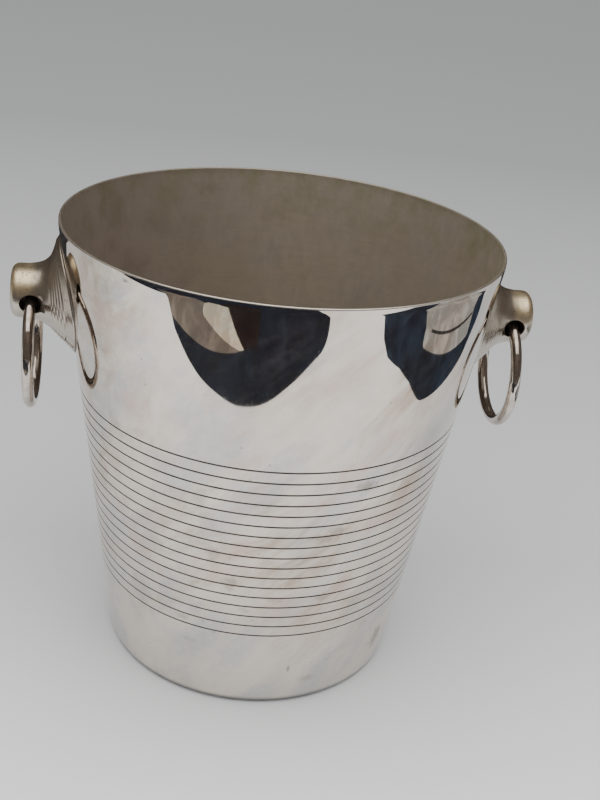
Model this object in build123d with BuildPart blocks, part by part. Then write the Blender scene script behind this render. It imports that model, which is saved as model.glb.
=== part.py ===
from build123d import *
from math import cos, pi, sin, sqrt
import os

os.makedirs("parts", exist_ok=True)

# A tapered champagne bucket with a ring handle hanging from a cast lug on each side.
# Millimetres. The bucket stands on the XY plane, its axis is Z, and the lugs are on the X axis.

# Bucket: one spun cup with an integral bottom
bucket_height = 210.0
foot_radius = 71.0  # where the straight outer wall would meet the table
mouth_radius = 99.3  # the same wall at the height of the rim
wall_thickness = 1.2
floor_thickness = 1.5
corner_radius = 4.0  # outside, between wall and bottom
push_up_height = 1.5  # the middle of the bottom is pressed up, clear of the table
push_up_radius = 56.0
foot_ring_radius = 60.0  # inner edge of the flat ring that touches the table
bottom_bend_radius = 3.0  # where the bottom turns up to the pressed middle
shoulder_height = 208.0  # here the wall turns upright, to the rim
shoulder_radius = 18.0
rim_round = 0.55

# Turned grooves around the lower half of the wall
groove_count = 17
groove_top_height = 134.3
groove_pitch = 5.68
groove_width = 0.8
groove_depth = 0.35

# Cast lugs: a round knob on a flare that follows the wall
solder_thickness = 0.3
lug_height = 173.3  # of the knob's axis
flange_radius = 26.5
flange_edge = 0.8
flange_edge_bevel = (0.4, 0.5)  # inwards, outwards
bevel_radius = 24.2
bevel_rise = 2.5
turned_line_depth = 0.3
turned_line_half_width = 0.35
turned_line_radii = (23.0, 21.6, 20.2, 18.8, 17.4)
flare_curve = ((24.2, 2.5), (20.5, 4.85), (18.0, 6.5), (16.0, 8.0), (14.0, 10.6))
neck_radius = 12.9
neck_stand_off = 13.5
knob_radius = 12.2
knob_stand_off = 17.5
knob_end_x = 119.4
knob_end_round = 3.4
knob_dome = 0.5
knob_overlap = 3.0  # how far the turned knob reaches back into the flare
knob_blend = 0.1  # the knob starts this much wider than the neck
buried_depth = 12.0  # how far the flare starts inside the wall, before it is cut back
section_points = 32

# Hole through each knob, and the ring that hangs in it
hinge_x = 110.2
hinge_height = 170.8
hole_radius = 4.5
hole_straight = 10.8  # half length, before the mouths open
mouth_round = 2.4
ring_height = 146.5
ring_radius = 25.6  # centre line of the wire
wire_radius = 2.6
braze_angle = 0.9  # degrees of the ring that its closing joint takes

wall_slope = (mouth_radius - foot_radius) / bucket_height
lug_axis = Axis((0, 0, lug_height), (1, 0, 0))


def wall_radius(height):
    """Radius of the straight outer wall at a height."""
    return foot_radius + wall_slope * height


def export(piece, name):
    piece.label = name
    export_step(piece, f"parts/{name}.step")
    box = piece.bounding_box().size
    print(f"{name}: {piece.volume:.1f} mm3, {box.X:.1f} x {box.Y:.1f} x {box.Z:.1f} mm")


def flare_section(radius, stand_off, follow):
    """A closed line around the lug's axis, standing off the wall.

    With follow at 1 it keeps its distance from the round wall, with 0 it is a flat circle.
    """
    middle_x = wall_radius(lug_height)
    points = []
    for step in range(section_points):
        angle = 2 * pi * step / section_points
        y = radius * cos(angle)
        z = lug_height + radius * sin(angle)
        wall_x = sqrt(wall_radius(z) ** 2 - y**2)
        points.append((middle_x + stand_off + follow * (wall_x - middle_x), y, z))
    with BuildLine() as section:
        Spline(*points, periodic=True)
    return section.wire()


def flare_height(radius):
    """Stand-off of the smooth flare at a distance from the lug's axis."""
    for (outer, low), (inner, high) in zip(flare_curve, flare_curve[1:]):
        if radius >= inner:
            return low + (high - low) * (outer - radius) / (outer - inner)
    return flare_curve[-1][1]


def follow_at(radius):
    """How closely the flare follows the wall: fully at the flange, not at all at the neck."""
    return min(1.0, (radius - neck_radius) / (bevel_radius - neck_radius))


def flare_sections():
    """The lines from inside the wall, over the flange's edge and the turned lines, to the neck."""
    bevel_in, bevel_out = flange_edge_bevel
    profile = [(flange_radius, flange_edge), (flange_radius - bevel_in, flange_edge + bevel_out)]
    profile.append((bevel_radius, bevel_rise))
    for radius in turned_line_radii:
        for offset, sink in ((1, 0), (0, turned_line_depth), (-1, 0)):
            line_radius = radius + offset * turned_line_half_width
            profile.append((line_radius, flare_height(line_radius) - sink))
    last_line = turned_line_radii[-1] - turned_line_half_width
    profile += [point for point in flare_curve if point[0] < last_line]
    profile.append((neck_radius, neck_stand_off))
    buried = flare_section(flange_radius, -buried_depth, 0)
    return [buried] + [flare_section(radius, rise, follow_at(radius)) for radius, rise in profile]


# Bucket: the whole cup in one profile, turned about Z
with BuildPart() as bucket_body:
    with BuildSketch(Plane.XZ) as cup_profile:
        shoulder_x = wall_radius(shoulder_height)
        floor_height = push_up_height + floor_thickness
        with BuildLine():
            FilletPolyline(
                (0, push_up_height),
                (push_up_radius, push_up_height),
                (foot_ring_radius, 0),
                (foot_radius, 0),
                (shoulder_x, shoulder_height),
                (shoulder_x, bucket_height),
                (shoulder_x - wall_thickness, bucket_height),
                (shoulder_x - wall_thickness, shoulder_height),
                (wall_radius(floor_thickness) - wall_thickness, floor_thickness),
                (foot_ring_radius, floor_thickness),
                (push_up_radius, floor_height),
                (0, floor_height),
                radius=(
                    bottom_bend_radius,
                    bottom_bend_radius,
                    corner_radius,
                    shoulder_radius,
                    rim_round,
                    rim_round,
                    shoulder_radius - wall_thickness,
                    corner_radius - wall_thickness,
                    bottom_bend_radius,
                    bottom_bend_radius,
                ),
            )
            Line((0, floor_height), (0, push_up_height))
        make_face()
    revolve(axis=Axis.Z)
    with BuildSketch(Plane.XZ) as groove_profiles:
        for index in range(groove_count):
            z = groove_top_height - index * groove_pitch
            groove_reach = groove_depth / 2
            half_width = groove_width / 2 * (1 + groove_reach / groove_depth)
            with BuildLine():
                Polyline(
                    (wall_radius(z + half_width) + groove_reach, z + half_width),
                    (wall_radius(z) - groove_depth, z),
                    (wall_radius(z - half_width) + groove_reach, z - half_width),
                    close=True,
                )
            make_face()
    revolve(axis=Axis.Z, mode=Mode.SUBTRACT)
export(bucket_body.part, "bucket_body")

# Everything inside the back face of the lugs, which sits on the solder
with BuildPart() as soldered_wall:
    with BuildSketch(Plane.XZ):
        with BuildLine():
            Polyline(
                (0, 0),
                (foot_radius + solder_thickness, 0),
                (mouth_radius + solder_thickness, bucket_height),
                (0, bucket_height),
                close=True,
            )
        make_face()
    revolve(axis=Axis.Z)

# Lug on +X: flare, knob, and a cross hole with rounded mouths
with BuildPart() as lug:
    add(Solid.make_loft(flare_sections(), ruled=True))
    neck_x = wall_radius(lug_height) + neck_stand_off
    knob_x = wall_radius(lug_height) + knob_stand_off
    round_x = knob_end_x - knob_dome - knob_end_round
    with BuildSketch(Plane.XZ) as knob_profile:
        with BuildLine():
            Polyline(
                (neck_x - knob_overlap, lug_height),
                (neck_x - knob_overlap, lug_height + knob_radius),
                (neck_x, lug_height + neck_radius + knob_blend),
                (knob_x, lug_height + knob_radius),
                (round_x, lug_height + knob_radius),
            )
            end_round = RadiusArc(
                (round_x, lug_height + knob_radius),
                (round_x + knob_end_round, lug_height + knob_radius - knob_end_round),
                knob_end_round,
            )
            dome = Spline(end_round @ 1, (knob_end_x, lug_height), tangents=[(0, -1), (0, -1)])
            Line((knob_end_x, lug_height), (neck_x - knob_overlap, lug_height))
        make_face()
    revolve(axis=lug_axis)
    with BuildSketch(Plane.XY.offset(hinge_height)) as hole_profile:
        with BuildLine():
            reach = hole_straight + mouth_round
            wall_line = Line((hinge_x + hole_radius, -hole_straight), (hinge_x + hole_radius, hole_straight))
            far_mouth = RadiusArc(
                wall_line @ 1, (hinge_x + hole_radius + mouth_round, reach), -mouth_round
            )
            Line(far_mouth @ 1, (hinge_x, reach))
            Line((hinge_x, reach), (hinge_x, -reach))
            near_mouth = RadiusArc(
                wall_line @ 0, (hinge_x + hole_radius + mouth_round, -reach), mouth_round
            )
            Line(near_mouth @ 1, (hinge_x, -reach))
        make_face()
    revolve(axis=Axis((hinge_x, 0, hinge_height), (0, 1, 0)), mode=Mode.SUBTRACT)
    add(soldered_wall.part, mode=Mode.SUBTRACT)

# Solder between the lug and the wall, as wide as the flange
with BuildPart() as solder:
    with BuildSketch(Plane.XZ):
        with BuildLine():
            low = lug_height - flange_radius - solder_thickness
            high = lug_height + flange_radius + solder_thickness
            Polyline(
                (wall_radius(low), low),
                (wall_radius(low) + solder_thickness, low),
                (wall_radius(high) + solder_thickness, high),
                (wall_radius(high), high),
                close=True,
            )
        make_face()
    revolve(axis=Axis.Z)
    with BuildSketch(Plane.YZ):
        with Locations((0, lug_height)):
            Circle(flange_radius)
    extrude(amount=mouth_radius, mode=Mode.INTERSECT)

# Ring handle: round wire, closed with a brazed joint at the top, inside the knob
with BuildPart() as ring:
    with BuildSketch(Plane.XZ):
        with Locations((hinge_x, ring_height + ring_radius)):
            Circle(wire_radius)
    revolve(axis=Axis((hinge_x, 0, ring_height), (1, 0, 0)), revolution_arc=360 - braze_angle)

with BuildPart() as braze:
    with BuildSketch(Plane.XZ):
        with Locations((hinge_x, ring_height + ring_radius)):
            Circle(wire_radius)
    revolve(axis=Axis((hinge_x, 0, ring_height), (1, 0, 0)), revolution_arc=-braze_angle)

for piece, name in ((lug, "lug"), (solder, "lug_solder"), (ring, "ring"), (braze, "ring_braze")):
    export(piece.part, f"{name}_right")
    export(mirror(piece.part, about=Plane.YZ), f"{name}_left")
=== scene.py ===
import math

import bmesh
import bpy
from mathutils import Matrix, Vector


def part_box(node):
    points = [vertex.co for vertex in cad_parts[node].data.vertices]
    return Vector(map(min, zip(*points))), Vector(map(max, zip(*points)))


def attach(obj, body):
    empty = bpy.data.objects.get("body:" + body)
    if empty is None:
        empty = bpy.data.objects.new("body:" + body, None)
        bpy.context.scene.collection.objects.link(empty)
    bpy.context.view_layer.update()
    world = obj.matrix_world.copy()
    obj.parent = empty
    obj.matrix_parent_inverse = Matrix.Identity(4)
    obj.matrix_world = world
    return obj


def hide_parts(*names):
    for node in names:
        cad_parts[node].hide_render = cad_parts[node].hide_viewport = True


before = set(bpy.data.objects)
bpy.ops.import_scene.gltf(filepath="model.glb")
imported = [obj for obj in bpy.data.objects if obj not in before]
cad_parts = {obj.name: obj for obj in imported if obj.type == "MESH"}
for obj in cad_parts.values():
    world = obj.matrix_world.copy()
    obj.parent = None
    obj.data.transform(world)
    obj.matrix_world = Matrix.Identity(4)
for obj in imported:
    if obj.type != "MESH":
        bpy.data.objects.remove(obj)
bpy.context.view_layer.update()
mm = 0.001
cupLow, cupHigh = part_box("bucket_body")
print("frame loaded, the cup is", round(cupHigh.z / mm), "mm high")


cameraSet = {
    "place": (-0.0647, -0.4908, 0.3618),
    "aim": (0.0154, 0.0009, 0.1240),
    "roll": 6.3,  # degrees, the camera is held a little askew
    "lens": 51.68,
}


def makeCamera(values):
    camera = bpy.data.objects.new("camera", bpy.data.cameras.new("camera"))
    bpy.context.scene.collection.objects.link(camera)
    camera.data.lens = values["lens"]
    camera.data.clip_start = 0.01
    place = Vector(values["place"])
    view = (Vector(values["aim"]) - place).normalized()
    level = view.cross(Vector((0, 0, 1))).normalized()
    roll = math.radians(values["roll"])
    right = level * math.cos(roll) + level.cross(view) * math.sin(roll)
    turn = Matrix((right, right.cross(view), -view)).transposed().to_4x4()
    camera.matrix_world = Matrix.Translation(place) @ turn
    bpy.context.scene.camera = camera


makeCamera(cameraSet)


class Socket:
    def __init__(self, finish, socket):
        self.finish, self.socket = finish, socket

    def __add__(self, other):
        return self.finish.sum("ADD", self, other)

    def __sub__(self, other):
        return self.finish.sum("SUBTRACT", self, other)

    def __rsub__(self, other):
        return self.finish.sum("SUBTRACT", other, self)

    def __mul__(self, other):
        return self.finish.sum("MULTIPLY", self, other)

    def __truediv__(self, other):
        return self.finish.sum("DIVIDE", self, other)

    __radd__ = __add__
    __rmul__ = __mul__


class Finish:
    def __init__(self, name, **constants):
        self.material = bpy.data.materials.new(name)
        self.material.use_nodes = True
        self.nodes = self.material.node_tree.nodes
        self.shader = self.nodes["Principled BSDF"]
        for socketName, value in constants.items():
            self.shader.inputs[socketName.replace("_", " ")].default_value = value
        self.place = self.node("ShaderNodeTexCoord", output="Object")

    def node(self, kind, settings=None, values=None, output=0):
        made = self.nodes.new(kind)
        for name, value in (settings or {}).items():
            if name == "stops":
                self.setStops(made.color_ramp.elements, value)
            else:
                setattr(made, name, value)
        for name, value in (values or {}).items():
            self.feed(made.inputs[name], value)
        return Socket(self, made.outputs[output])

    def setStops(self, elements, stops):
        while len(elements) < len(stops):
            elements.new(1)
        for element, (position, shade) in zip(elements, stops):
            element.position = position
            element.color = (shade, shade, shade, 1)

    def feed(self, socket, value):
        if isinstance(value, Socket):
            self.material.node_tree.links.new(value.socket, socket)
        else:
            socket.default_value = value

    def sum(self, operation, first, second):
        return self.node("ShaderNodeMath", {"operation": operation}, {0: first, 1: second})

    def split(self, vector):
        return [self.node("ShaderNodeSeparateXYZ", None, {0: vector}, output) for output in range(3)]

    def noise(self, vector, size, detail=3.0, roughness=0.5, distortion=0.0):
        values = {"Vector": vector, "Scale": 1 / size, "Detail": detail, "Roughness": roughness}
        values["Distortion"] = distortion
        return self.node("ShaderNodeTexNoise", None, values)

    def cells(self, vector, size):
        values = {"Vector": vector, "Scale": 1 / size}
        return self.node("ShaderNodeTexVoronoi", None, values, "Distance")

    def stretch(self, turn=(0, 0, 0), scale=(1, 1, 1), shift=(0, 0, 0)):
        # a texture mapping: a larger scale draws the pattern out along the turned axis
        turn = [math.radians(angle) for angle in turn]
        values = {"Vector": self.place, "Rotation": turn, "Scale": scale, "Location": shift}
        return self.node("ShaderNodeMapping", {"vector_type": "TEXTURE"}, values)

    def ramp(self, value, *stops):
        return self.node("ShaderNodeValToRGB", {"stops": stops}, {0: value})

    def blend(self, factor, first, second):
        colours = [(*c, 1) if isinstance(c, tuple) else c for c in (first, second)]
        values = {0: factor, 6: colours[0], 7: colours[1]}
        return self.node("ShaderNodeMix", {"data_type": "RGBA"}, values, 2)

    def bump(self, height, strength, distance):
        values = {"Height": height, "Strength": strength, "Distance": distance}
        return self.node("ShaderNodeBump", None, values)

    def marks(self, places, texture):
        # soft blobs at named places, broken up by a texture
        total = 0
        for middle, half, strength in places:
            shift = [value * mm for value in middle]
            scale = [value * mm for value in half]
            ball = self.stretch(scale=scale, shift=shift)
            away = self.node("ShaderNodeVectorMath", {"operation": "LENGTH"}, {0: ball}, 1)
            total = self.ramp(away + texture * 0.9 - 0.3, (0.45, 1), (1, 0)) * strength + total
        return total

    def use(self, **links):
        for socketName, value in links.items():
            self.feed(self.shader.inputs[socketName.replace("_", " ")], value)
        return self.material


def spots(finish, size, reach, seed):
    # small round marks, in only some of the cells
    vector = finish.stretch(shift=(seed, seed * 2, 0))
    near = finish.ramp(finish.cells(vector, size), (reach * 0.5, 1), (reach, 0))
    some = finish.ramp(finish.noise(vector, size * 3, 1), (0.55, 0), (0.6, 1))
    return near * some


def scratches(finish, turn, fine, long, low, high):
    lines = finish.stretch(turn=turn, scale=(fine, fine, long))
    return finish.ramp(finish.noise(lines, 1, 1), (low, 0), (high, 1))


# rubbed and stained places on the wall: degrees round from the front, height, half size, strength
wallMarks = (
    (23, 125, (6, 8, 4), 0.8), (16, 103, (5, 8, 3), 0.6), (12, 99, (6, 8, 3), 0.7),
    (-20, 88, (4, 8, 6), 0.5), (-14, 73, (5, 9, 5), 0.6), (-9, 58, (4, 9, 2.5), 0.5),
    (-38, 83, (5, 9, 6), 0.35), (-30, 47, (4, 9, 2.5), 0.5), (-27, 34, (4, 9, 2), 0.35),
    (1, 65, (5, 8, 2), 0.35), (16, 65, (5, 8, 3), 0.5), (9, 22, (1, 5, 2.5), 1),
    (17, 14, (6, 8, 3), 0.3), (-44, 206.5, (1.5, 2, 1), 1), (50.5, 21, (5, 6, 9), 1),
)
plate = {
    "clean": (0.76, 0.70, 0.625), "warm": (0.46, 0.36, 0.275), "cold": (0.46, 0.50, 0.52),
    # the foot tone is painted contact shade on the round at the bottom
    "pink": (0.64, 0.49, 0.44), "stain": (0.24, 0.20, 0.16), "footShade": (0.10, 0.09, 0.08),
    # the edge tone is a painted highlight along the rim
    "edge": (1.0, 0.95, 0.86), "streakTurn": 48, "gloss": 0.012, "edgeHeight": 209,
}


def wallPlace(angle, height):
    turn, radius = math.radians(angle), wallRadius(height)
    return radius * math.sin(turn), -radius * math.cos(turn), height


def silverPlate():
    finish = Finish("silverPlate", IOR=1.5)
    z = finish.split(finish.place)[2]
    turn = plate["streakTurn"]
    # tarnish lies in streaks that run down to the left, and fades towards the foot
    streaks = finish.stretch(turn=(0, turn, 0), scale=(1, 1, 3.6))
    upper = finish.ramp(z / mm / 100, (0.25, 0.3), (0.7, 1))
    clouds = finish.ramp(finish.noise(streaks, 13 * mm, 7, 0.62, 0.6), (0.40, 0), (0.58, 1)) * upper
    finer = finish.ramp(finish.noise(streaks, 4 * mm, 6, 0.7), (0.38, 0), (0.66, 1))
    broad = finish.ramp(finish.noise(finish.place, 55 * mm, 2), (0.36, 0), (0.56, 1))
    coldPlaces = finish.stretch(turn=(0, 40, 0), scale=(1, 1, 3), shift=(1, 0, 0))
    cold = finish.ramp(finish.noise(coldPlaces, 22 * mm, 6, 0.6), (0.46, 0), (0.62, 1))
    pinkPlaces = finish.stretch(turn=(0, turn, 0), scale=(1, 1, 2), shift=(0, 3, 1))
    pink = finish.ramp(finish.noise(pinkPlaces, 16 * mm, 6, 0.6), (0.48, 0), (0.64, 1))
    mottle = finish.ramp(finish.noise(finish.place, 4 * mm, 6, 0.75), (0.35, 0), (0.75, 1))
    specks = spots(finish, 7 * mm, 0.10, 3.1) * 0.5 + spots(finish, 15 * mm, 0.06, 7.7)
    dust = spots(finish, 2.2 * mm, 0.16, 4.3)
    hairs = scratches(finish, (0, 35, 10), 0.3 * mm, 18 * mm, 0.66, 0.80)
    hairs = hairs + scratches(finish, (12, -52, 0), 0.25 * mm, 12 * mm, 0.68, 0.82)
    filmPlaces = finish.stretch(turn=(0, 50, 0), scale=(1, 1, 5), shift=(4, 2, 0))
    film = finish.ramp(finish.noise(filmPlaces, 7 * mm, 6, 0.65), (0.5, 0), (0.72, 1))
    places = [(wallPlace(angle, up), half, strength) for angle, up, half, strength in wallMarks]
    marked = finish.marks(places, mottle)
    # painted contact shade: the lowest few mm, round the foot, are darkened
    footShade = finish.ramp(z / mm / 10, (0.12, 1), (0.42, 0))
    # painted highlight: the top half mm of the rim is paler, and rougher
    edge = finish.ramp(z / mm - plate["edgeHeight"], (0.1, 0), (0.6, 1))
    tone = finish.blend(clouds * broad * (0.4 + finer * 0.6), plate["clean"], plate["warm"])
    tone = finish.blend(cold * (0.35 + mottle * 0.5), tone, plate["cold"])
    tone = finish.blend(pink * upper * (0.25 + finer * 0.5), tone, plate["pink"])
    tone = finish.blend(marked * (0.45 + finer * 0.5) + specks, tone, plate["stain"])
    tone = finish.blend(footShade, tone, plate["footShade"])
    tone = finish.blend(edge, tone, plate["edge"])
    veil = clouds * broad * 0.005 + film * mottle * 0.05 + hairs * 0.03 + marked * 0.06 + dust * 0.06
    rough = clouds * broad * 0.02 + mottle * cold * 0.04 + hairs * 0.08 + marked * 0.2 + footShade * 0.1
    wave = finish.noise(finish.place, 45 * mm, 1)
    return finish.use(
        Base_Color=tone,
        Metallic=1 - veil,
        Roughness=plate["gloss"] + rough + edge * 0.4,
        Normal=finish.bump(wave, 0.15, 1 * mm),
    )


def grooveDirt():
    finish = Finish("grooveDirt", IOR=1.5)
    patchy = finish.ramp(finish.noise(finish.place, 9 * mm, 5, 0.6), (0.35, 0), (0.7, 1))
    tone = finish.blend(patchy, (0.07, 0.065, 0.06), (0.24, 0.225, 0.21))
    return finish.use(Base_Color=tone, Metallic=0.6 + patchy * 0.3, Roughness=0.5 - patchy * 0.15)


inside = {
    "base": (0.72, 0.66, 0.55), "dark": (0.46, 0.41, 0.35), "purple": (0.42, 0.355, 0.335),
    "green": (0.42, 0.42, 0.24), "light": (0.74, 0.69, 0.58), "satin": 0.40,
}


def dullInside():
    finish = Finish("dullInside", IOR=1.5)
    x, _, z = finish.split(finish.place)
    drawn = finish.noise(finish.stretch(scale=(1, 1, 9)), 2 * mm, 4, 0.6)
    rings = finish.noise(finish.stretch(scale=(1, 1, 0.08)), 14 * mm, 3, 0.6)
    patches = finish.ramp(finish.noise(finish.place, 32 * mm, 5, 0.6), (0.38, 0), (0.66, 1))
    blotches = finish.noise(finish.stretch(shift=(2, 0, 0)), 14 * mm, 6, 0.7)
    blotches = finish.ramp(blotches, (0.45, 0), (0.7, 1))
    fine = finish.noise(finish.place, 1.2 * mm, 3)
    leftSide = finish.ramp(x * -6 + 0.1, (0, 0), (0.5, 1))
    nearRim = finish.ramp(z * 10 - 1.75, (0, 0), (0.32, 1))
    rubbed = scratches(finish, (0, 80, 0), 0.3 * mm, 20 * mm, 0.72, 0.85)
    tone = finish.blend(patches * 0.8, inside["base"], inside["dark"])
    tone = finish.blend(finish.ramp(drawn, (0.42, 0), (0.7, 1)) * 0.25, tone, inside["light"])
    tone = finish.blend(finish.ramp(rings, (0.45, 0), (0.7, 1)) * 0.2, tone, inside["dark"])
    tone = finish.blend(leftSide * (0.55 + blotches * 0.4), tone, inside["purple"])
    tone = finish.blend(blotches * nearRim * 0.8, tone, inside["green"])
    tone = finish.blend(rubbed * 0.5, tone, inside["light"])
    return finish.use(
        Base_Color=tone,
        Metallic=0.9 - patches * 0.1,
        Roughness=inside["satin"] + drawn * 0.14 + patches * 0.06,
        Normal=finish.bump(fine * 0.5 + rings, 0.10, 0.1 * mm),
    )


cast = {
    "plate": (0.50, 0.455, 0.40), "dull": (0.50, 0.43, 0.34), "brass": (1.0, 0.84, 0.56),
    "pit": (0.20, 0.15, 0.10), "gloss": 0.17,
}


def castPlate():
    finish = Finish("castPlate", IOR=1.5)
    x, _, z = finish.split(finish.place)
    lift = (z - knob["height"] * mm) / (knob["radius"] * mm) * 0.5 + 0.5  # 0 below the knob, 1 on top
    out = (finish.sum("ABSOLUTE", x, 0) - knob["neckX"] * mm) / (10 * mm)
    top = finish.ramp(lift, (0.48, 0), (0.75, 1))
    outer = finish.ramp(out, (0.0, 0), (0.35, 1))
    patchy = finish.noise(finish.place, 4 * mm, 6, 0.65)
    worn = top * outer * finish.ramp(patchy, (0.3, 0.65), (0.6, 1))  # down to the brass
    rubbed = finish.ramp(lift, (0.35, 0), (0.6, 1)) * (0.5 + patchy * 0.5)
    pits = spots(finish, 0.9 * mm, 0.36, 1.3) + spots(finish, 1.5 * mm, 0.3, 5.2)
    haze = finish.ramp(finish.noise(finish.place, 9 * mm, 4), (0.35, 0), (0.7, 1))
    tone = finish.blend(rubbed * 0.8, cast["plate"], cast["dull"])
    tone = finish.blend(worn, tone, cast["brass"])
    tone = finish.blend(pits * (0.2 + top * 0.6), tone, cast["pit"])
    return finish.use(
        Base_Color=tone,
        Metallic=0.98 - haze * 0.04,
        Roughness=cast["gloss"] + haze * 0.06 + rubbed * 0.15 + worn * 0.07,
        Normal=finish.bump(pits * -1 + patchy * 0.5, 0.35, 0.15 * mm),
    )


# tones that the smaller finishes blend between
tones = {
    "ring": ((0.70, 0.65, 0.60), (0.46, 0.39, 0.33), (0.34, 0.27, 0.22)),
    # the hole tones are painted shade inside the holes
    "hole": ((0.035, 0.027, 0.02), (0.12, 0.095, 0.07)),
    "solder": ((0.14, 0.12, 0.10), (0.34, 0.3, 0.26)),
    "braze": ((0.72, 0.6, 0.36), (0.45, 0.36, 0.22)),
}


def ringPlate():
    finish = Finish("ringPlate", IOR=1.5)
    bright, hazed, stained = tones["ring"]
    haze = finish.ramp(finish.noise(finish.place, 10 * mm, 5, 0.6), (0.35, 0), (0.7, 1))
    stains = finish.ramp(finish.noise(finish.place, 3 * mm, 5, 0.7), (0.48, 0), (0.7, 1))
    hairs = scratches(finish, (20, 10, 35), 0.3 * mm, 6 * mm, 0.62, 0.78)
    tone = finish.blend(haze, bright, hazed)
    tone = finish.blend(stains * 0.6, tone, stained)
    return finish.use(
        Base_Color=tone, Metallic=0.99 - haze * 0.02, Roughness=0.08 + haze * 0.08 + hairs * 0.1
    )


def holeShade():
    finish = Finish("holeShade", IOR=1.5)
    # painted shade: the inside of the hole is darkened, with a little noise
    holeShadeNoise = finish.noise(finish.place, 2 * mm, 4)
    tone = finish.blend(holeShadeNoise, *tones["hole"])
    return finish.use(Base_Color=tone, Metallic=0.4 + holeShadeNoise * 0.3, Roughness=0.45 + holeShadeNoise * 0.2)


def plainSolder():
    finish = Finish("solderGrey", IOR=1.5)
    grain = finish.noise(finish.place, 2 * mm, 4)
    tone = finish.blend(grain, *tones["solder"])
    return finish.use(Base_Color=tone, Metallic=0.8 + grain * 0.1, Roughness=0.4 + grain * 0.2)


def brazeBrass():
    finish = Finish("brazeBrass", IOR=1.5)
    grain = finish.noise(finish.place, 1 * mm, 4)
    tone = finish.blend(grain, *tones["braze"])
    return finish.use(Base_Color=tone, Metallic=0.95 - grain * 0.1, Roughness=0.25 + grain * 0.2)


def roundedOutline(corners, guard=0.15 * mm, steps=5):
    # corners are (across, up, radius); straight runs keep a point close to each round
    points = [Vector(corners[0][:2])]
    for before, corner, after in zip(corners, corners[1:], corners[2:]):
        here, radius = Vector(corner[:2]), corner[2]
        if radius == 0:
            points.append(here)
            continue
        arriving = (here - Vector(before[:2])).normalized()
        leaving = (Vector(after[:2]) - here).normalized()
        turn = arriving.angle(leaving)
        reach = radius * math.tan(turn / 2)
        aside = (leaving - arriving * arriving.dot(leaving)).normalized()
        centre = here - arriving * reach + aside * radius
        points.append(here - arriving * (reach + guard))
        for step in range(steps + 1):
            angle = turn * step / steps
            points.append(centre + (arriving * math.sin(angle) - aside * math.cos(angle)) * radius)
        points.append(here + leaving * (reach + guard))
    points.append(Vector(corners[-1][:2]))
    return points


def traceOutline(name, points):
    # a single point drawn out along the outline, in edit mode
    bpy.ops.object.select_all(action="DESELECT")
    bpy.ops.mesh.primitive_plane_add(size=mm)
    piece = bpy.context.object
    piece.name = piece.data.name = name
    bpy.ops.object.mode_set(mode="EDIT")
    bpy.ops.mesh.merge(type="CENTER")
    bpy.ops.transform.translate(value=points[0])
    for start, end in zip(points, points[1:]):
        bpy.ops.mesh.extrude_vertices_move(TRANSFORM_OT_translate={"value": end - start})
    return piece


def spinOutline(centre, axis, steps):
    bpy.ops.mesh.select_all(action="SELECT")
    bpy.ops.mesh.spin(steps=steps, angle=math.tau, center=centre, axis=axis)
    bpy.ops.mesh.select_all(action="SELECT")
    bpy.ops.mesh.remove_doubles(threshold=0.002 * mm)
    bpy.ops.mesh.normals_make_consistent(inside=False)


def finishPiece(piece, body, node, sharp=35):
    bpy.ops.object.mode_set(mode="OBJECT")
    bpy.ops.object.shade_smooth_by_angle(angle=math.radians(sharp))
    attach(piece, body)
    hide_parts(node)
    print(piece.name, "has", len(piece.data.polygons), "faces")


def paintFaces(piece, material, test):
    # gives a material to the faces whose place and normal pass the test
    piece.data.materials.append(material)
    piece.active_material_index = len(piece.data.materials) - 1
    mesh = bmesh.from_edit_mesh(piece.data)
    for face in mesh.faces:
        face.select = test(face.calc_center_median(), face.normal)
    bmesh.update_edit_mesh(piece.data)
    bpy.ops.object.material_slot_assign()


cup = {
    "footRadius": 71.0, "mouthRadius": 99.3, "wall": 1.2, "floor": 1.5, "cornerRound": 4.0,
    "pushUp": 1.5, "pushUpRadius": 56.0, "footRing": 60.0, "bottomBend": 3.0,
    "shoulder": 208.0, "shoulderBend": 18.0, "rimRound": 0.55,
    "grooves": 17, "grooveTop": 134.3, "groovePitch": 5.68, "grooveWidth": 0.8, "grooveDepth": 0.35,
    "steps": 224,
}
height = cupHigh.z / mm


def wallRadius(z):
    return cup["footRadius"] + (cup["mouthRadius"] - cup["footRadius"]) * z / height


def cupCorners():
    bend, wall = cup["bottomBend"], cup["wall"]
    corners = [(0, cup["pushUp"], 0), (cup["pushUpRadius"], cup["pushUp"], bend)]
    corners += [(cup["footRing"], 0, bend), (cup["footRadius"], 0, cup["cornerRound"])]
    half = cup["grooveWidth"] / 2
    for index in reversed(range(cup["grooves"])):
        z = cup["grooveTop"] - index * cup["groovePitch"]
        corners.append((wallRadius(z - half), z - half, 0.12))
        corners.append((wallRadius(z) - cup["grooveDepth"], z, 0.1))
        corners.append((wallRadius(z + half), z + half, 0.12))
    rim = wallRadius(cup["shoulder"])
    corners += [(rim, cup["shoulder"], cup["shoulderBend"]), (rim, height, cup["rimRound"])]
    corners += [(rim - wall, height, cup["rimRound"])]
    corners += [(rim - wall, cup["shoulder"], cup["shoulderBend"] - wall)]
    corners += [(wallRadius(cup["floor"]) - wall, cup["floor"], cup["cornerRound"] - wall)]
    inner = cup["pushUp"] + cup["floor"]
    corners += [(cup["footRing"], cup["floor"], bend), (cup["pushUpRadius"], inner, bend)]
    corners += [(0, inner, 0)]
    return [tuple(value * mm for value in corner) for corner in corners]


def isInside(centre, normal):
    depth = wallRadius(centre.z / mm) - centre.xy.length / mm
    if centre.z < (cup["pushUp"] + cup["floor"]) * mm * 1.2:
        return normal.z > 0.3 or (depth > cup["wall"] * 0.7 and centre.z > cup["floor"] * mm)
    return depth > cup["wall"] * 0.8


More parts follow.
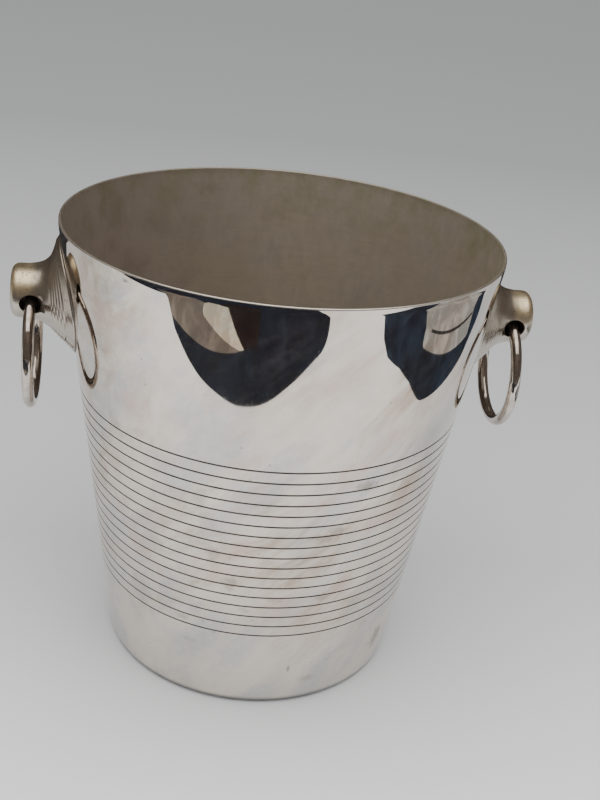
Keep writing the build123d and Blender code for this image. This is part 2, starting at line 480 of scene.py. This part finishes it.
def isGroove(centre, normal):
    z = centre.z / mm
    depth = wallRadius(z) - centre.xy.length / mm
    lowest = cup["grooveTop"] - cup["grooves"] * cup["groovePitch"]
    return 0.06 < depth < cup["grooveDepth"] * 1.2 and lowest < z < cup["grooveTop"] + 2


def makeCup():
    flat = roundedOutline(cupCorners(), guard=0.08 * mm, steps=4)
    piece = traceOutline("cup", [Vector((p.x, 0, p.y)) for p in flat])
    spinOutline((0, 0, 0), (0, 0, 1), cup["steps"])
    piece.data.materials.append(silverPlate())
    paintFaces(piece, dullInside(), isInside)
    paintFaces(piece, grooveDirt(), isGroove)
    finishPiece(piece, "bucket", "bucket_body", 30)


knob = {
    "height": 173.3, "radius": 12.2, "neckX": 107.7, "endX": 119.4, "endRound": 3.4, "dome": 0.5,
    "flangeRadius": 26.5, "flangeEdge": 0.8, "bevelRadius": 24.2, "bevelRise": 2.5, "solder": 0.3,
    "turnedLines": (23.0, 21.6, 20.2, 18.8, 17.4), "lineDepth": 0.3, "lineHalf": 0.35,
    "neckRadius": 12.9,
    "holeX": 110.2, "holeZ": 170.8, "hole": 4.5, "holeStraight": 10.8, "mouthRound": 2.4,
    "steps": 144,
}
# distance from the knob's axis, rise off the wall
flareCurve = (
    (24.2, 2.5), (20.5, 4.85), (18.0, 6.5), (16.0, 8.0), (14.0, 10.6), (12.9, 13.5), (12.2, 17.5),
)


def flareRise(radius):
    # smooth curve through the flare's points
    index = 0
    while index < len(flareCurve) - 2 and radius < flareCurve[index + 1][0]:
        index += 1
    before, start, end, after = (
        flareCurve[min(max(index + offset, 0), len(flareCurve) - 1)] for offset in (-1, 0, 1, 2)
    )
    part = (radius - start[0]) / (end[0] - start[0])
    span = end[0] - start[0]
    leave = (end[1] - before[1]) / (end[0] - before[0]) * span
    arrive = (after[1] - start[1]) / (after[0] - start[0]) * span
    part2, part3 = part**2, part**3
    rise = (2 * part3 - 3 * part2 + 1) * start[1] + (part3 - 2 * part2 + part) * leave
    return rise + (3 * part2 - 2 * part3) * end[1] + (part3 - part2) * arrive


def lugCorners():
    # (rise off the wall, distance from the knob's axis, radius), from the middle of the back
    back = knob["solder"]
    corners = [(back, radius, 0) for radius in (0, 6, 12, 18, 23)]
    corners += [(back, knob["flangeRadius"], 0.1), (knob["flangeEdge"], knob["flangeRadius"], 0.25)]
    corners += [(knob["bevelRise"], knob["bevelRadius"], 0.3)]
    for radius in knob["turnedLines"]:
        for offset, sink in ((1, 0), (0, knob["lineDepth"]), (-1, 0)):
            here = radius + offset * knob["lineHalf"]
            corners.append((flareRise(here) - sink, here, 0.06))
    last = knob["turnedLines"][-1] - knob["lineHalf"]
    neck, end = flareCurve[-2][0], flareCurve[-1][0]
    for start, stop, steps in ((last, neck, 14), (neck, end, 5)):
        for step in range(1, steps + 1):
            here = start + (stop - start) * step / steps
            corners.append((flareRise(here), here, 0))
    front = knob["endX"] - wallRadius(knob["height"])
    corners += [(front - knob["dome"], knob["radius"], knob["endRound"])]
    corners += [(front - knob["dome"] * 0.2, knob["radius"] * 0.45, 0)]
    corners += [(front - knob["dome"] * 0.02, knob["radius"] * 0.15, 0), (front, 0, 0)]
    return [tuple(value * mm for value in corner) for corner in corners]


def hugWall(piece, side):
    # the flange and flare follow the round, sloping wall; the knob stays level
    middle = wallRadius(knob["height"]) * mm
    for vertex in piece.data.vertices:
        rise = vertex.co.x * side - middle
        away = math.hypot(vertex.co.y, vertex.co.z - knob["height"] * mm) / mm
        follow = (away - knob["neckRadius"]) / (knob["bevelRadius"] - knob["neckRadius"])
        follow = min(1, max(0, follow))
        if rise < knob["solder"] * mm * 1.5:
            follow = 1
        wall = math.sqrt((wallRadius(vertex.co.z / mm) * mm) ** 2 - vertex.co.y**2)
        vertex.co.x = side * (middle + rise + follow * (wall - middle))


def makeHoleCutter(side):
    outer = knob["hole"] + knob["mouthRound"]
    reach = knob["holeStraight"] + knob["mouthRound"]
    x, z = side * knob["holeX"] * mm, knob["holeZ"] * mm
    corners = [(-reach - 1, 0, 0), (-reach - 1, outer, 0), (-reach, outer, 0)]
    corners += [(-reach, knob["hole"], knob["mouthRound"] * 0.999)]
    corners += [(reach, knob["hole"], knob["mouthRound"] * 0.999)]
    corners += [(reach, outer, 0), (reach + 1, outer, 0), (reach + 1, 0, 0)]
    flat = roundedOutline([tuple(v * mm for v in corner) for corner in corners], 0.05 * mm, 10)
    piece = traceOutline("holeCutter", [Vector((x + p.y, p.x, z)) for p in flat])
    spinOutline((x, 0, z), (0, 1, 0), 64)
    bpy.ops.object.mode_set(mode="OBJECT")
    return piece


def isHole(centre, normal):
    x = abs(centre.x) - knob["holeX"] * mm
    away = math.hypot(x, centre.z - knob["holeZ"] * mm) / mm
    inwards = normal.x * (x if centre.x > 0 else -x) + normal.z * (centre.z - knob["holeZ"] * mm)
    return away < knob["hole"] + 1 and inwards < 0 and abs(normal.y) < 0.8


def makeLug(name, side, material, holeMaterial):
    middle = wallRadius(knob["height"]) * mm
    flat = roundedOutline(lugCorners(), 0.08 * mm, 4)
    outline = [Vector((side * (middle + p.x), 0, knob["height"] * mm + p.y)) for p in flat]
    piece = traceOutline(name, outline)
    spinOutline((0, 0, knob["height"] * mm), (1, 0, 0), knob["steps"])
    bpy.ops.object.mode_set(mode="OBJECT")
    hugWall(piece, side)
    cutter = makeHoleCutter(side)
    bpy.ops.object.select_all(action="DESELECT")
    bpy.context.view_layer.objects.active = piece
    piece.select_set(True)
    cut = piece.modifiers.new("hole", "BOOLEAN")
    cut.object, cut.operation, cut.solver = cutter, "DIFFERENCE", "MANIFOLD"
    bpy.ops.object.modifier_apply(modifier=cut.name)
    bpy.data.objects.remove(cutter)
    piece.data.materials.clear()
    piece.data.materials.append(material)
    bpy.ops.object.mode_set(mode="EDIT")
    bpy.ops.mesh.select_all(action="SELECT")
    bpy.ops.mesh.remove_doubles(threshold=0.0005 * mm)
    bpy.ops.mesh.normals_make_consistent(inside=False)
    paintFaces(piece, holeMaterial, isHole)
    node = {-1: "lug_left", 1: "lug_right"}[side]
    finishPiece(piece, "bucket", node, 35)


solder = {"backGap": 0.02, "thickness": 0.3, "fillet": 0.45}


def makeSolder(name, side, material):
    # a thin plate as wide as the flange, with a small fillet round its edge
    middle, rim = wallRadius(knob["height"]), knob["flangeRadius"]
    back, front, fillet = solder["backGap"], solder["thickness"], solder["fillet"]
    corners = [(back, 0), (back, 10), (back, 20), (back, rim + fillet)]
    corners += [(back + 0.1, rim + fillet - 0.05), (front, rim + 0.1), (front, rim - 0.2)]
    corners += [(front - 0.02, 20), (front - 0.02, 10), (front - 0.02, 0)]
    outline = [Vector((side * (middle + x) * mm, 0, (knob["height"] + r) * mm)) for x, r in corners]
    piece = traceOutline(name, outline)
    spinOutline((0, 0, knob["height"] * mm), (1, 0, 0), 96)
    bpy.ops.object.mode_set(mode="OBJECT")
    hugWall(piece, side)
    piece.data.materials.append(material)
    node = {-1: "lug_solder_left", 1: "lug_solder_right"}[side]
    finishPiece(piece, "bucket", node)


ring = {
    "x": 110.2, "height": 146.5, "radius": 25.6, "wire": 2.6,
    "joint": 0.9,  # degrees left open at the top, where the braze is
    "steps": 200, "around": 36,
}


def makeRing(name, side, material):
    x, z = side * ring["x"] * mm, ring["height"] * mm
    top = z + ring["radius"] * mm
    bpy.ops.object.select_all(action="DESELECT")
    bpy.ops.mesh.primitive_circle_add(
        vertices=ring["around"], radius=ring["wire"] * mm, fill_type="NGON",
        location=(x, 0, top), rotation=(math.pi / 2, 0, 0),
    )
    piece = bpy.context.object
    piece.name = piece.data.name = name
    bpy.ops.object.transform_apply(location=True, rotation=True)
    bpy.ops.object.mode_set(mode="EDIT")
    half = math.radians(ring["joint"] / 2)
    bpy.ops.transform.rotate(value=-half, orient_axis="X", center_override=(x, 0, z))
    turn = math.tau - 2 * half
    bpy.ops.mesh.spin(steps=ring["steps"], angle=turn, center=(x, 0, z), axis=(1, 0, 0))
    bpy.ops.mesh.select_all(action="SELECT")
    bpy.ops.mesh.normals_make_consistent(inside=False)
    piece.data.materials.append(material)
    node = {-1: "ring_left", 1: "ring_right"}[side]
    finishPiece(piece, node, node, 50)


makeCup()
castFinish, ringFinish, solderFinish = castPlate(), ringPlate(), plainSolder()
brazeFinish, holeFinish = brazeBrass(), holeShade()
for side, word in ((-1, "Left"), (1, "Right")):
    makeLug("lug" + word, side, castFinish, holeFinish)
    makeSolder("solder" + word, side, solderFinish)
    makeRing("ring" + word, side, ringFinish)
    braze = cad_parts["ring_braze_" + word.lower()]
    braze.data.materials.clear()
    braze.data.materials.append(brazeFinish)
print("object built")


# near and far are the floor's painted light falloff, lit in front and dim far off
floorSet = {"near": (0.90, 0.905, 0.91), "far": (0.345, 0.35, 0.345), "radius": 9}


def makeFloor():
    # pale in front, a little greyer with distance: painted light falloff
    bpy.ops.object.select_all(action="DESELECT")
    bpy.ops.mesh.primitive_circle_add(vertices=96, radius=floorSet["radius"], fill_type="NGON")
    floor = bpy.context.object
    floor.name = "floor"
    finish = Finish("floorPaintedFalloff", Roughness=0.9, IOR=1.3, Specular_IOR_Level=0.0)
    x, y, _ = finish.split(finish.place)
    soft = finish.noise(finish.place, 500 * mm, 2)
    away = y * 0.5 + x * 0.06 + soft * 0.04 + 0.08
    away = finish.ramp(away, (0.03, 0), (0.13, 0.55), (0.25, 0.72), (0.45, 0.88), (0.65, 1))
    tone = finish.blend(away, floorSet["near"], floorSet["far"])
    floor.data.materials.append(finish.use(Base_Color=tone))


# dark and light things lying about the bucket, seen only in its polish
# colour, lift, and corners in mm, each with the radius of its round
cards = {
    "frontDark": ((0.004, 0.009, 0.023), 0.4, (
        (-2400, 60, 0), (-700, -20, 0), (-420, -140, 0), (-332, -202, 20), (-290, -202, 30),
        (-110, -257, 100), (70, -323, 0), (108, -334, 40), (118, -460, 0), (125, -1250, 0),
        (-2400, -1250, 0))),
    "brown": ((0.135, 0.115, 0.098), 0.8, (
        (-420, -200, 0), (-308, -202, 10), (-127, -305, 0), (-245, -278, 8), (-262, -310, 0),
        (-330, -330, 0))),
    "streak": ((0.47, 0.42, 0.32), 1.2, (
        (-262, -330, 0), (-245, -278, 8), (-127, -305, 0), (-118, -310, 0), (-230, -340, 0))),
    "maroon": ((0.012, 0.005, 0.006), 0.8, (
        (-230, -340, 0), (-216, -293, 9), (-118, -310, 0), (-86, -326, 0), (-110, -460, 0),
        (-240, -460, 0))),
    "rightDark": ((0.008, 0.016, 0.034), 0.4, (
        (285, -330, 0), (257, -262, 20), (258, -228, 10), (280, -182, 30), (291, -137, 20),
        (292, -80, 60), (364, 105, 80), (420, 180, 50), (520, 215, 0), (620, 100, 0),
        (640, -330, 0))),
    "rightGrey": ((0.27, 0.27, 0.255), 0.8, (
        (395, -180, 0), (366, -143, 12), (342, -132, 10), (395, 110, 12), (446, 121, 20),
        (475, 160, 20), (500, 170, 0), (760, 60, 0), (760, -180, 0))),
    "rightSeam": ((0.02, 0.022, 0.024), 1.0, (
        (372, -116, 0), (401, -4, 400), (432, 113, 0), (437, 113, 0), (406, -7, 400),
        (377, -116, 0))),
    "backDark": ((0.022, 0.023, 0.027), 0.4, (
        (-2400, 560, 0), (-640, 490, 0), (0, 300, 2000), (640, 500, 0), (2400, 560, 0),
        (2400, 1600, 0), (-2400, 1600, 0))),
    "farFront": ((0.030, 0.024, 0.020), 0.3, (
        (-2400, -620, 0), (2400, -620, 0), (2400, -1250, 0), (-2400, -1250, 0))),
}
# the dim room about the table, in metres
room = {
    "front": -1.3, "back": 1.6, "side": 1.4, "height": 1.7,
    "wall": (0.070, 0.053, 0.040), "ceiling": (0.10, 0.088, 0.072),
}


def darkFinish(name, colour):
    finish = Finish(name, Roughness=0.5)
    veins = finish.ramp(finish.noise(finish.place, 60 * mm, 6, 0.65, 1.0), (0.45, 0), (0.85, 1))
    lighter = tuple(min(1, value * 2.6 + 0.01) for value in colour)
    return finish.use(Base_Color=finish.blend(veins, colour, lighter))


def makeCard(name, points, material):
    # a flat face that is seen only in reflections
    card = traceOutline("card" + name.capitalize(), points)
    bpy.ops.mesh.select_all(action="SELECT")
    bpy.ops.mesh.edge_face_add()
    bpy.ops.object.mode_set(mode="OBJECT")
    card.data.materials.append(material)
    card.visible_camera = card.visible_diffuse = card.visible_shadow = False


def makeRoom():
    for name, (colour, lift, corners) in cards.items():
        flat = roundedOutline([tuple(value * mm for value in corner) for corner in corners])
        points = [Vector((point.x, point.y, lift * mm)) for point in flat]
        makeCard(name, points, darkFinish(name, colour))
    front, back, side, top = room["front"], room["back"], room["side"], room["height"]
    wallFinish = darkFinish("roomWall", room["wall"])
    corners = ((-side, front), (side, front), (side, back), (-side, back))
    for index, (start, end) in enumerate(zip(corners, corners[1:] + corners[:1])):
        points = [(*start, 0), (*end, 0), (*end, top), (*start, top)]
        makeCard("roomWall" + str(index), [Vector(point) for point in points], wallFinish)
    ceiling = [Vector((*corner, top)) for corner in corners]
    makeCard("ceiling", ceiling, darkFinish("ceiling", room["ceiling"]))


def addSoftbox(place, size, power, colour):
    # an area light points straight down as it is
    softbox = bpy.data.objects.new("softbox", bpy.data.lights.new("softbox", "AREA"))
    bpy.context.scene.collection.objects.link(softbox)
    softbox.data.shape = "RECTANGLE"
    softbox.data.size, softbox.data.size_y = size
    softbox.data.energy, softbox.data.color = power, colour
    softbox.location = place


def makeWorld(colour, strength):
    world = bpy.data.worlds.new("world")
    bpy.context.scene.world = world
    world.use_nodes = True
    background = world.node_tree.nodes["Background"]
    background.inputs["Color"].default_value = (*colour, 1)
    background.inputs["Strength"].default_value = strength


lamps = {
    "sky": (0.97, 0.98, 1.0), "skyPower": 1.06,
    "boxPlace": (-0.15, -0.4, 1.6), "boxSize": (2.4, 1.6),
    "boxPower": 20, "boxColour": (1, 0.97, 0.93),
}
makeFloor()
makeRoom()
makeWorld(lamps["sky"], lamps["skyPower"])
addSoftbox(lamps["boxPlace"], lamps["boxSize"], lamps["boxPower"], lamps["boxColour"])
print("stage built")
